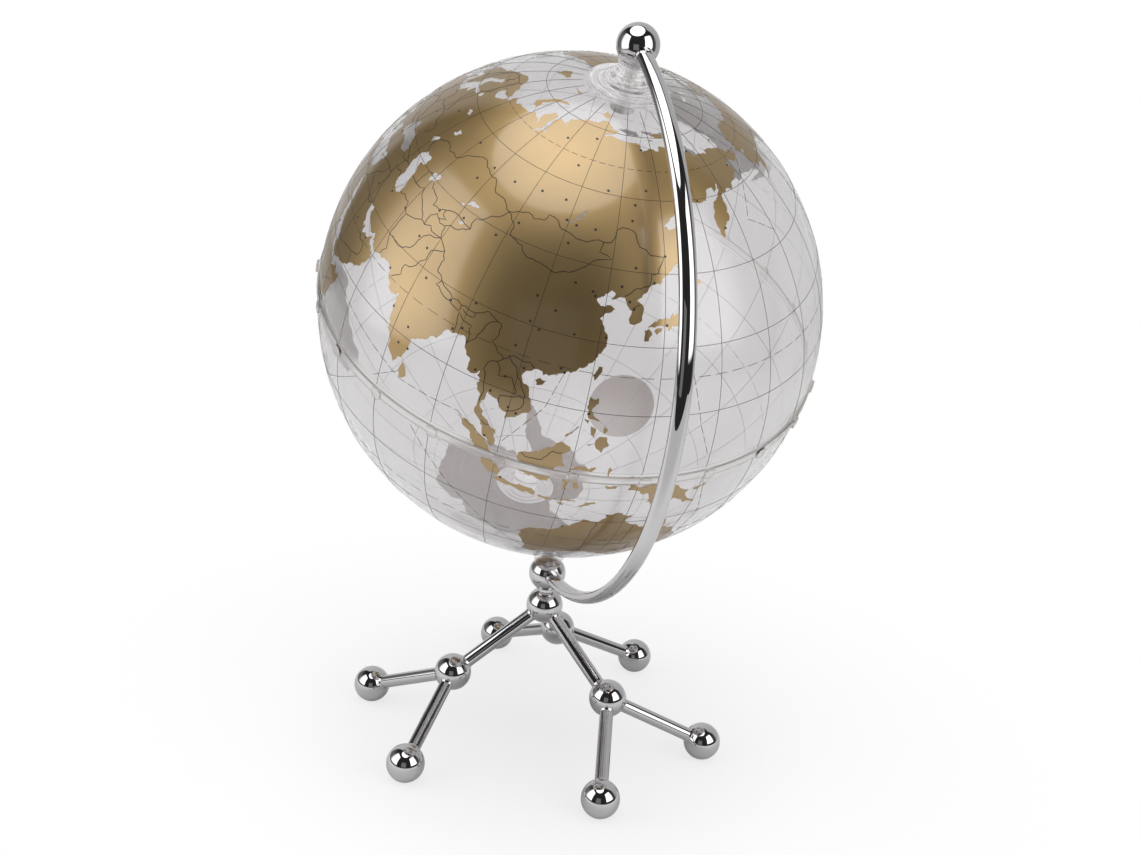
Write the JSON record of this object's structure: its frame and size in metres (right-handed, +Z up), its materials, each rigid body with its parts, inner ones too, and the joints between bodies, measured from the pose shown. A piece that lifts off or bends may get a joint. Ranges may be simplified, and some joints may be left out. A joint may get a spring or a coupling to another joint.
{
  "type": "desktop globe on stand",
  "caption": "Clear spinning desktop globe with printed gold land, hung from a curved chrome arc on a ball and rod tripod.",
  "frame": {"origin": "on the table, under the middle of the whole object's box; the hub's axis is 9.2 mm behind it", "axes": "+Z up; +X from the hub's axis towards the meridian arc, the way the polar axis leans"},
  "size_m": [0.2184, 0.2034, 0.3022],
  "materials": {
    "chrome": "mirror polished",
    "clear_acrylic": "clear, polished",
    "pin_steel": "turned",
    "white_nylon": "matte"
  },
  "bodies": {
    "stand": {"hub_ball": "chrome", "leg_rod_1": "chrome", "leg_rod_2": "chrome", "leg_rod_3": "chrome", "knee_ball_1": "chrome", "knee_ball_2": "chrome", "knee_ball_3": "chrome", "foot_rod_1": "chrome", "foot_rod_2": "chrome", "foot_rod_3": "chrome", "foot_rod_4": "chrome", "foot_rod_5": "chrome", "foot_rod_6": "chrome", "foot_ball_1": "chrome", "foot_ball_2": "chrome", "foot_ball_3": "chrome", "foot_ball_4": "chrome", "foot_ball_5": "chrome", "foot_ball_6": "chrome", "neck_collar": "chrome", "neck_stud": "pin_steel", "lower_ball": "chrome", "support_cup": "clear_acrylic", "meridian_arc": "chrome", "top_ball": "chrome", "pivot_pin": "pin_steel", "pivot_washer": "white_nylon"},
    "globe": {"north_shell": "clear_acrylic", "south_shell": "clear_acrylic", "north_cap": "clear_acrylic", "south_cap": "clear_acrylic"}
  },
  "joints": [
    {"name": "globe_spin", "type": "hinge", "parent": "stand", "child": "globe", "pos_m": [-0.0092, 0, 0.18814], "axis": [0.3987, 0, 0.9171], "continuous": true}
  ]
}
